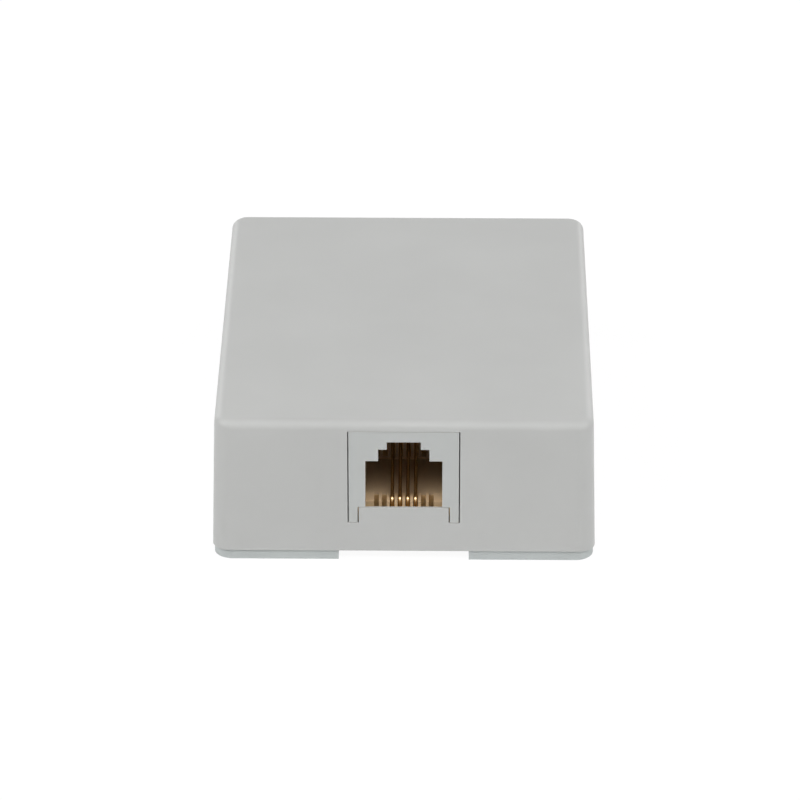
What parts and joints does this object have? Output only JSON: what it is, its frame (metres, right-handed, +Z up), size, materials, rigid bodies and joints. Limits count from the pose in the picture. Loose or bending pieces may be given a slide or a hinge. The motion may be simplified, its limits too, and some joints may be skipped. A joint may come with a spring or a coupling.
{
  "type": "surface mount jack box",
  "caption": "Small surface mount jack box with a plain drafted cover, a thin base, a modular jack in the front wall and screw terminals inside.",
  "frame": {"origin": "under the middle of the base, in the plane of its underside", "axes": "+X across the front, the front wall with the jack faces -Y, +Z up out of the mounting surface"},
  "size_m": [0.05, 0.0604, 0.0203],
  "materials": {
    "cover_plastic": "fine satin moulding",
    "base_plastic": "fine satin moulding",
    "jack_plastic": "fine satin moulding",
    "carrier_plastic": "smooth moulding, tan",
    "contact_gold": "gold plated",
    "insert_brass": "turned",
    "lug_tin": "tin plated",
    "washer_nickel": "nickel plated",
    "screw_nickel": "nickel plated",
    "lead_black_pvc": "satin",
    "lead_red_pvc": "satin",
    "lead_green_pvc": "satin",
    "lead_yellow_pvc": "satin"
  },
  "bodies": {
    "base": {"base": "base_plastic", "jack_housing": "jack_plastic", "contact_carrier": "carrier_plastic", "contact_wire_1": "contact_gold", "contact_wire_2": "contact_gold", "contact_wire_3": "contact_gold", "contact_wire_4": "contact_gold", "lead_black": "lead_black_pvc", "lead_red": "lead_red_pvc", "lead_green": "lead_green_pvc", "lead_yellow": "lead_yellow_pvc", "spade_lug_1": "lug_tin", "spade_lug_2": "lug_tin", "spade_lug_3": "lug_tin", "spade_lug_4": "lug_tin", "terminal_insert_1": "insert_brass", "terminal_insert_2": "insert_brass", "terminal_insert_3": "insert_brass", "terminal_insert_4": "insert_brass"},
    "cover": {"cover": "cover_plastic"},
    "washer_1": {"terminal_washer_1": "washer_nickel"},
    "screw_1": {"terminal_screw_1": "screw_nickel"},
    "washer_2": {"terminal_washer_2": "washer_nickel"},
    "screw_2": {"terminal_screw_2": "screw_nickel"},
    "washer_3": {"terminal_washer_3": "washer_nickel"},
    "screw_3": {"terminal_screw_3": "screw_nickel"},
    "washer_4": {"terminal_washer_4": "washer_nickel"},
    "screw_4": {"terminal_screw_4": "screw_nickel"}
  },
  "joints": [
    {"name": "cover_tilt", "type": "hinge", "parent": "base", "child": "cover", "pos_m": [0, -0.0302, 0.0014], "axis": [1, 0, 0], "range_deg": [0, 70]},
    {"name": "terminal_lift_1", "type": "slide", "parent": "base", "child": "washer_1", "axis": [0, 0, 1], "range_m": [0, 0.001]},
    {"name": "terminal_turn_1", "type": "hinge", "parent": "washer_1", "child": "screw_1", "pos_m": [-0.009, 0.005, 0.0071], "axis": [0, 0, 1], "range_deg": [0, 720]},
    {"name": "terminal_lift_2", "type": "slide", "parent": "base", "child": "washer_2", "axis": [0, 0, 1], "range_m": [0, 0.001]},
    {"name": "terminal_turn_2", "type": "hinge", "parent": "washer_2", "child": "screw_2", "pos_m": [-0.009, 0.018, 0.0071], "axis": [0, 0, 1], "range_deg": [0, 720]},
    {"name": "terminal_lift_3", "type": "slide", "parent": "base", "child": "washer_3", "axis": [0, 0, 1], "range_m": [0, 0.001]},
    {"name": "terminal_turn_3", "type": "hinge", "parent": "washer_3", "child": "screw_3", "pos_m": [0.009, 0.005, 0.0071], "axis": [0, 0, 1], "range_deg": [0, 720]},
    {"name": "terminal_lift_4", "type": "slide", "parent": "base", "child": "washer_4", "axis": [0, 0, 1], "range_m": [0, 0.001]},
    {"name": "terminal_turn_4", "type": "hinge", "parent": "washer_4", "child": "screw_4", "pos_m": [0.009, 0.018, 0.0071], "axis": [0, 0, 1], "range_deg": [0, 720]}
  ],
  "couplings": [
    {"joint": "terminal_turn_1", "follows": "terminal_lift_1", "rad_per_m": 12566},
    {"joint": "terminal_turn_2", "follows": "terminal_lift_2", "rad_per_m": 12566},
    {"joint": "terminal_turn_3", "follows": "terminal_lift_3", "rad_per_m": 12566},
    {"joint": "terminal_turn_4", "follows": "terminal_lift_4", "rad_per_m": 12566}
  ]
}
